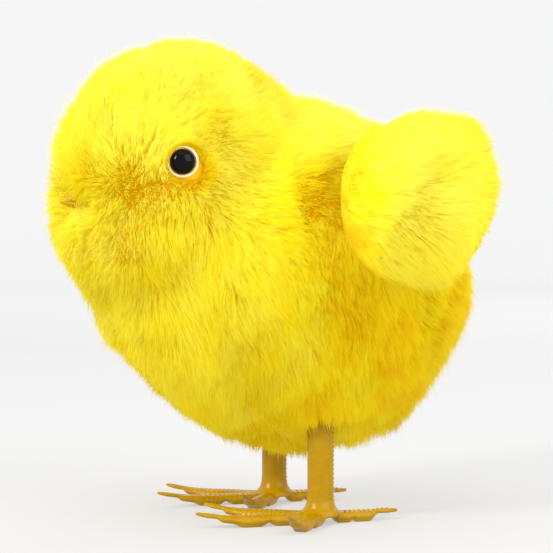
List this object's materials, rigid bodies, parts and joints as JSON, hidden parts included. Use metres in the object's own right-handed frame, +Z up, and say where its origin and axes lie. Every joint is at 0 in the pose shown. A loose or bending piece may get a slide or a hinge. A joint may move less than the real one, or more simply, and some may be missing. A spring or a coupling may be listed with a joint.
{
  "type": "wind-up hopping chick",
  "caption": "Yellow plush wind-up chick that hops on two moulded amber feet, driven by a clockwork motor with a side winding knob.",
  "frame": {"origin": "on the floor under the middle of the bird's bounding box", "axes": "+Z up, the bird faces -Y, its left side is +X; the winding knob is on its right at -X"},
  "size_m": [0.0872, 0.089, 0.0981],
  "materials": {
    "yellow_plush": "deep soft pile",
    "amber_plastic": "semi-gloss moulded",
    "black_plastic": "polished",
    "cream_plastic": "satin",
    "white_plastic": "moulded, unpainted",
    "steel": "bright drawn",
    "nylon": "moulded gear nylon"
  },
  "bodies": {
    "body": {"plush_cover": "yellow_plush", "left_wing": "yellow_plush", "right_wing": "yellow_plush", "beak": "amber_plastic", "left_eye": "black_plastic", "right_eye": "black_plastic", "left_eye_rim": "cream_plastic", "right_eye_rim": "cream_plastic", "shell_left": "white_plastic", "shell_right": "white_plastic", "shell_screw_1": "steel", "shell_screw_2": "steel", "shell_screw_3": "steel", "shell_screw_4": "steel", "case_left": "white_plastic", "case_right": "white_plastic", "case_screw_1": "steel", "case_screw_2": "steel", "case_screw_3": "steel", "case_screw_4": "steel", "mainspring": "steel", "leg_return_spring": "steel", "second_axle": "steel", "cam_axle": "steel"},
    "key": {"winding_knob": "amber_plastic", "winding_arbor": "steel", "ratchet_wheel": "steel"},
    "driving_wheel": {"great_wheel": "nylon", "click_spring": "steel"},
    "middle_gear": {"second_gear": "nylon"},
    "cam_wheel": {"cam_gear": "nylon"},
    "legs": {"left_leg": "amber_plastic", "right_leg": "amber_plastic", "leg_shaft": "steel", "rocker": "nylon"}
  },
  "joints": [
    {"name": "key_turn", "type": "hinge", "parent": "body", "child": "key", "pos_m": [0, -0.0022, 0.0502], "axis": [1, 0, 0], "continuous": true},
    {"name": "great_wheel_turn", "type": "hinge", "parent": "body", "child": "driving_wheel", "pos_m": [0, -0.0022, 0.0502], "axis": [1, 0, 0], "continuous": true},
    {"name": "second_gear_turn", "type": "hinge", "parent": "body", "child": "middle_gear", "pos_m": [0, 0.00758, 0.04415], "axis": [1, 0, 0], "continuous": true},
    {"name": "cam_turn", "type": "hinge", "parent": "body", "child": "cam_wheel", "pos_m": [0, -0.001, 0.039], "axis": [1, 0, 0], "continuous": true},
    {"name": "legs_rock", "type": "hinge", "parent": "body", "child": "legs", "pos_m": [0, 0.008, 0.034], "axis": [1, 0, 0], "range_deg": [0, 14], "stiffness_Nm_per_rad": 0.02, "springref_deg": -20.05, "deforming": ["leg_return_spring"]}
  ],
  "couplings": [
    {"joint": "second_gear_turn", "follows": "great_wheel_turn", "ratio": -3.6},
    {"joint": "cam_turn", "follows": "great_wheel_turn", "ratio": 10.8}
  ]
}
